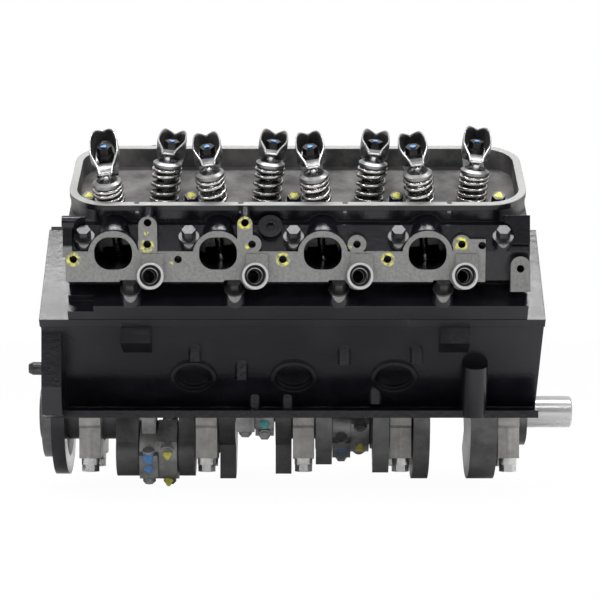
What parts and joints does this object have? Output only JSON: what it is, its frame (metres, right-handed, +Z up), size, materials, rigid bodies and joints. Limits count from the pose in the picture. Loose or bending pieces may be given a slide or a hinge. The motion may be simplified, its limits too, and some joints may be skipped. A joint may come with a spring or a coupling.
{
  "type": "long block engine",
  "caption": "Ninety-degree V8 long block with dressed heads, open crankcase, turning crankshaft and sliding pistons, ready for its pan, covers and manifolds.",
  "frame": {"origin": "centre of the flywheel mounting face at the crankshaft's rear flange", "axes": "+X along the crankshaft to the front of the engine, +Z up between the banks, +Y towards the engine's left bank"},
  "size_m": [0.6827, 0.5518, 0.4535],
  "materials": {
    "black_enamel": "glossy black engine enamel over as-cast iron",
    "bare_cast_iron": "bare grey cast iron, shot blasted",
    "forged_steel": "oiled forging, machined at the ends",
    "cast_aluminium": "machined casting",
    "crank_iron": "dark casting with ground journals and a polished snout",
    "dark_steel": "black oxide with oil",
    "bright_steel": "ground or bright steel with oil",
    "gasket_facing": "grey graphite composition",
    "seal_rubber": "moulded seal",
    "bearing_metal": "tin-aluminium lining"
  },
  "bodies": {
    "block_body": {"camshaft_bearings": "bearing_metal", "camshaft_thrust_plate": "dark_steel", "core_plugs": "black_enamel", "dowel_pins": "bright_steel", "engine_block": "black_enamel", "exhaust_valves": "bright_steel", "head_bolts": "dark_steel", "head_gaskets": "gasket_facing", "intake_valves": "bright_steel", "left_cylinder_head": "black_enamel", "main_bearing_caps": "bare_cast_iron", "main_bearing_shells": "bearing_metal", "main_cap_bolts": "bright_steel", "pushrod_guide_plates": "dark_steel", "pushrods": "dark_steel", "rear_seal_retainer": "black_enamel", "right_cylinder_head": "black_enamel", "rocker_arms": "bright_steel", "rocker_bolts": "dark_steel", "rocker_pivot_balls": "dark_steel", "spring_retainers": "bright_steel", "timing_chain": "dark_steel", "valve_lifters": "dark_steel", "valve_springs": "bright_steel", "valve_stem_seals": "seal_rubber"},
    "crank_body": {"crank_key": "bright_steel", "crank_sprocket": "dark_steel", "crankshaft": "crank_iron"},
    "cam_body": {"cam_sprocket": "dark_steel", "cam_sprocket_bolts": "bright_steel", "camshaft": "dark_steel"},
    "rod_body_1": {"connecting_rod_1": "forged_steel"},
    "rod_body_2": {"connecting_rod_2": "forged_steel"},
    "rod_body_3": {"connecting_rod_3": "forged_steel"},
    "rod_body_4": {"connecting_rod_4": "forged_steel"},
    "rod_body_5": {"connecting_rod_5": "forged_steel"},
    "rod_body_6": {"connecting_rod_6": "forged_steel"},
    "rod_body_7": {"connecting_rod_7": "forged_steel"},
    "rod_body_8": {"connecting_rod_8": "forged_steel"},
    "piston_body_1": {"piston_1": "cast_aluminium"},
    "piston_body_2": {"piston_2": "cast_aluminium"},
    "piston_body_3": {"piston_3": "cast_aluminium"},
    "piston_body_4": {"piston_4": "cast_aluminium"},
    "piston_body_5": {"piston_5": "cast_aluminium"},
    "piston_body_6": {"piston_6": "cast_aluminium"},
    "piston_body_7": {"piston_7": "cast_aluminium"},
    "piston_body_8": {"piston_8": "cast_aluminium"}
  },
  "joints": [
    {"name": "crank_turn", "type": "hinge", "parent": "block_body", "child": "crank_body", "pos_m": [0, 0, 0], "axis": [-1, 0, 0], "range_deg": [-8, 8]},
    {"name": "cam_turn", "type": "hinge", "parent": "block_body", "child": "cam_body", "pos_m": [0, 0, 0.13086], "axis": [-1, 0, 0], "range_deg": [-8, 8]},
    {"name": "piston_slide_1", "type": "slide", "parent": "block_body", "child": "piston_body_1", "axis": [0, 0.7071, 0.7071], "range_m": [-0.00396, 0.00396]},
    {"name": "rod_swing_1", "type": "hinge", "parent": "piston_body_1", "child": "rod_body_1", "pos_m": [0.52891, 0.1415, 0.1415], "axis": [-1, 0, 0], "range_deg": [-2.44, 2.44]},
    {"name": "piston_slide_2", "type": "slide", "parent": "block_body", "child": "piston_body_2", "axis": [0, -0.7071, 0.7071], "range_m": [-0.00748, 0.00748]},
    {"name": "rod_swing_2", "type": "hinge", "parent": "piston_body_2", "child": "rod_body_2", "pos_m": [0.50491, -0.12041, 0.12041], "axis": [-1, 0, 0], "range_deg": [-1.18, 1.18]},
    {"name": "piston_slide_3", "type": "slide", "parent": "block_body", "child": "piston_body_3", "axis": [0, 0.7071, 0.7071], "range_m": [-0.00748, 0.00748]},
    {"name": "rod_swing_3", "type": "hinge", "parent": "piston_body_3", "child": "rod_body_3", "pos_m": [0.40597, 0.12041, 0.12041], "axis": [-1, 0, 0], "range_deg": [-1.18, 1.18]},
    {"name": "piston_slide_4", "type": "slide", "parent": "block_body", "child": "piston_body_4", "axis": [0, -0.7071, 0.7071], "range_m": [-0.00216, 0.00216]},
    {"name": "rod_swing_4", "type": "hinge", "parent": "piston_body_4", "child": "rod_body_4", "pos_m": [0.38197, -0.0767, 0.0767], "axis": [-1, 0, 0], "range_deg": [-2.44, 2.44]},
    {"name": "piston_slide_5", "type": "slide", "parent": "block_body", "child": "piston_body_5", "axis": [0, 0.7071, 0.7071], "range_m": [-0.00561, 0.00561]},
    {"name": "rod_swing_5", "type": "hinge", "parent": "piston_body_5", "child": "rod_body_5", "pos_m": [0.28303, 0.0902, 0.0902], "axis": [-1, 0, 0], "range_deg": [-1.18, 1.18]},
    {"name": "piston_slide_6", "type": "slide", "parent": "block_body", "child": "piston_body_6", "axis": [0, -0.7071, 0.7071], "range_m": [-0.00396, 0.00396]},
    {"name": "rod_swing_6", "type": "hinge", "parent": "piston_body_6", "child": "rod_body_6", "pos_m": [0.25903, -0.1415, 0.1415], "axis": [-1, 0, 0], "range_deg": [-2.44, 2.44]},
    {"name": "piston_slide_7", "type": "slide", "parent": "block_body", "child": "piston_body_7", "axis": [0, 0.7071, 0.7071], "range_m": [-0.00216, 0.00216]},
    {"name": "rod_swing_7", "type": "hinge", "parent": "piston_body_7", "child": "rod_body_7", "pos_m": [0.16009, 0.0767, 0.0767], "axis": [-1, 0, 0], "range_deg": [-2.44, 2.44]},
    {"name": "piston_slide_8", "type": "slide", "parent": "block_body", "child": "piston_body_8", "axis": [0, -0.7071, 0.7071], "range_m": [-0.00561, 0.00561]},
    {"name": "rod_swing_8", "type": "hinge", "parent": "piston_body_8", "child": "rod_body_8", "pos_m": [0.13609, -0.0902, 0.0902], "axis": [-1, 0, 0], "range_deg": [-1.18, 1.18]}
  ],
  "couplings": [
    {"joint": "cam_turn", "follows": "crank_turn", "ratio": 0.5},
    {"joint": "piston_slide_1", "follows": "crank_turn", "m_per_rad": 0.027725},
    {"joint": "rod_swing_1", "follows": "crank_turn", "ratio": -0.29736},
    {"joint": "piston_slide_2", "follows": "crank_turn", "m_per_rad": -0.05244},
    {"joint": "rod_swing_2", "follows": "crank_turn", "ratio": -0.14362},
    {"joint": "piston_slide_3", "follows": "crank_turn", "m_per_rad": -0.05244},
    {"joint": "rod_swing_3", "follows": "crank_turn", "ratio": -0.14362},
    {"joint": "piston_slide_4", "follows": "crank_turn", "m_per_rad": -0.015074},
    {"joint": "rod_swing_4", "follows": "crank_turn", "ratio": 0.29736},
    {"joint": "piston_slide_5", "follows": "crank_turn", "m_per_rad": 0.039342},
    {"joint": "rod_swing_5", "follows": "crank_turn", "ratio": 0.14362},
    {"joint": "piston_slide_6", "follows": "crank_turn", "m_per_rad": 0.027725},
    {"joint": "rod_swing_6", "follows": "crank_turn", "ratio": -0.29736},
    {"joint": "piston_slide_7", "follows": "crank_turn", "m_per_rad": -0.015074},
    {"joint": "rod_swing_7", "follows": "crank_turn", "ratio": 0.29736},
    {"joint": "piston_slide_8", "follows": "crank_turn", "m_per_rad": 0.039342},
    {"joint": "rod_swing_8", "follows": "crank_turn", "ratio": 0.14362}
  ]
}
